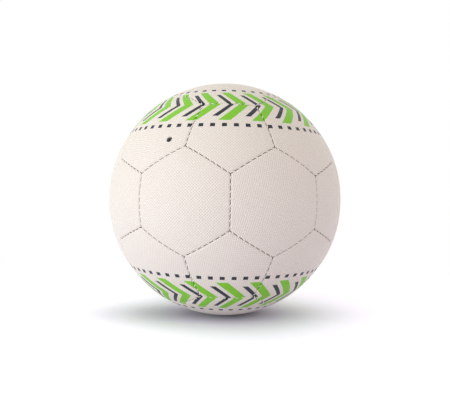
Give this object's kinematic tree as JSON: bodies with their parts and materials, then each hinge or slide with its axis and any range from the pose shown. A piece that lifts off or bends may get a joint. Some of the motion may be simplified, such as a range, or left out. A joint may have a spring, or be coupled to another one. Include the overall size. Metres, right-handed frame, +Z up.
{
  "type": "handball",
  "caption": "Hand stitched match handball: a cover of pentagon and hexagon panels over an air bladder with a needle valve.",
  "frame": {"origin": "the middle of the ball", "axes": "+Z up through the middle of a hexagon to hexagon seam, +X to the right as the picture sees it, -Y towards the camera through the upright seam between the two front hexagons"},
  "size_m": [0.1872, 0.1872, 0.1872],
  "materials": {
    "cover": "satin",
    "thread": "matte",
    "bladder_rubber": "matte",
    "valve_rubber": "satin",
    "patch_cloth": "matte"
  },
  "bodies": {
    "root": {"pentagon_panel_01": "cover", "pentagon_panel_02": "cover", "pentagon_panel_03": "cover", "pentagon_panel_04": "cover", "pentagon_panel_05": "cover", "pentagon_panel_06": "cover", "pentagon_panel_07": "cover", "pentagon_panel_08": "cover", "pentagon_panel_09": "cover", "pentagon_panel_10": "cover", "pentagon_panel_11": "cover", "pentagon_panel_12": "cover", "hexagon_panel_01": "cover", "hexagon_panel_02": "cover", "hexagon_panel_03": "cover", "hexagon_panel_04": "cover", "hexagon_panel_05": "cover", "hexagon_panel_06": "cover", "hexagon_panel_07": "cover", "hexagon_panel_08": "cover", "hexagon_panel_09": "cover", "hexagon_panel_10": "cover", "hexagon_panel_11": "cover", "hexagon_panel_12": "cover", "hexagon_panel_13": "cover", "hexagon_panel_14": "cover", "hexagon_panel_15": "cover", "hexagon_panel_16": "cover", "hexagon_panel_17": "cover", "hexagon_panel_18": "cover", "hexagon_panel_19": "cover", "valve_panel": "cover", "seam_thread": "thread", "bladder": "bladder_rubber", "valve_housing": "valve_rubber", "valve_core": "valve_rubber", "valve_patch": "patch_cloth"}
  },
  "joints": []
}
